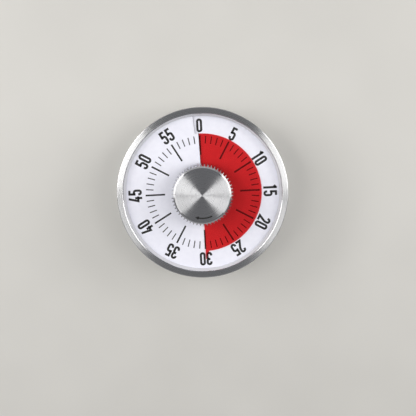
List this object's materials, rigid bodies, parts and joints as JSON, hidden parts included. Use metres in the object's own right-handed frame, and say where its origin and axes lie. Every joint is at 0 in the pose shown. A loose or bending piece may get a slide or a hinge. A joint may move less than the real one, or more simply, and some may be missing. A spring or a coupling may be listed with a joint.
{
  "type": "mechanical timer",
  "caption": "Round magnetic one-hour timer: tapered steel case, white dial with a red film that shows the time left, serrated central knob, bell movement inside.",
  "frame": {"origin": "centre of the flat back, on the face that meets a steel door or a table", "axes": "+Z out of the dial along the knob shaft, +Y towards the 0 mark at twelve o'clock"},
  "size_m": [0.078, 0.078, 0.033],
  "materials": {
    "steel_case": "circularly turned rim, brushed wall",
    "white_ring": "satin moulding",
    "white_dial": "printed sheet with black ticks and numbers",
    "red_film": "see-through red film",
    "knob_metal": "turned face, serrated edge",
    "black_moulding": "fine moulded grain",
    "grey_moulding": "moulded",
    "plain_steel": "bright steel",
    "wheel_brass": "bright brass",
    "magnet_ferrite": "dark sintered ferrite",
    "bell_steel": "plated"
  },
  "bodies": {
    "case": {"case_shell": "steel_case", "dial_ring": "white_ring", "dial_sheet": "white_dial", "dial_carrier": "grey_moulding", "rear_cover": "black_moulding", "magnets": "magnet_ferrite", "cover_screws": "plain_steel", "bell": "bell_steel", "bell_screw": "plain_steel", "front_plate": "plain_steel", "rear_plate": "plain_steel", "pillars": "plain_steel", "front_plate_screws": "plain_steel", "rear_plate_screws": "plain_steel", "movement_screws": "plain_steel", "front_bush": "wheel_brass", "spring_barrel": "plain_steel", "mainspring": "plain_steel", "hammer_spring": "plain_steel"},
    "knob": {"knob_body": "knob_metal", "knob_cap": "knob_metal", "knob_insert": "black_moulding", "main_arbor": "plain_steel", "arbor_clip": "plain_steel", "spring_collet": "plain_steel", "alarm_cam": "plain_steel", "main_wheel": "wheel_brass", "ratchet_wheel": "plain_steel", "click_spring": "plain_steel", "click_rivets": "wheel_brass"},
    "film": {"film_hub": "grey_moulding", "red_film": "red_film"},
    "second": {"second_pinion": "plain_steel", "second_wheel": "wheel_brass"},
    "third": {"third_pinion": "plain_steel", "third_wheel": "wheel_brass"},
    "escape": {"escape_pinion": "plain_steel", "escape_wheel": "wheel_brass"},
    "pallets": {"anchor_arbor": "plain_steel", "anchor": "plain_steel", "balance": "wheel_brass"},
    "hammer": {"hammer_arbor": "plain_steel", "trip_arm": "plain_steel", "hammer_arm": "plain_steel", "hammer_head": "wheel_brass"}
  },
  "joints": [
    {"name": "knob_turn", "type": "hinge", "parent": "case", "child": "knob", "pos_m": [0, 0, 0.022], "axis": [0, 0, -1], "range_deg": [-180, 180], "deforming": ["mainspring"]},
    {"name": "film_lift", "type": "slide", "parent": "knob", "child": "film", "axis": [0, 0, 1], "range_m": [-0.00041, 0.00041]},
    {"name": "second_spin", "type": "hinge", "parent": "case", "child": "second", "pos_m": [-0.01364, 0.00788, 0.012], "axis": [0, 0, -1], "continuous": true},
    {"name": "third_spin", "type": "hinge", "parent": "case", "child": "third", "pos_m": [-0.02084, -0.0007, 0.012], "axis": [0, 0, -1], "continuous": true},
    {"name": "escape_spin", "type": "hinge", "parent": "case", "child": "escape", "pos_m": [-0.01436, -0.00843, 0.012], "axis": [0, 0, -1], "continuous": true},
    {"name": "pallet_swing", "type": "hinge", "parent": "case", "child": "pallets", "pos_m": [-0.00819, -0.0136, 0.012], "axis": [0, 0, 1], "range_deg": [-6, 6]},
    {"name": "hammer_swing", "type": "hinge", "parent": "case", "child": "hammer", "pos_m": [0.01472, -0.0085, 0.012], "axis": [0, 0, 1], "range_deg": [-8, 0], "stiffness_Nm_per_rad": 0.004, "springref_deg": 5.73, "deforming": ["hammer_spring"]}
  ],
  "couplings": [
    {"joint": "film_lift", "follows": "knob_turn", "m_per_rad": 0.00012732},
    {"joint": "second_spin", "follows": "knob_turn", "ratio": -6},
    {"joint": "third_spin", "follows": "knob_turn", "ratio": 36},
    {"joint": "escape_spin", "follows": "knob_turn", "ratio": -216}
  ]
}
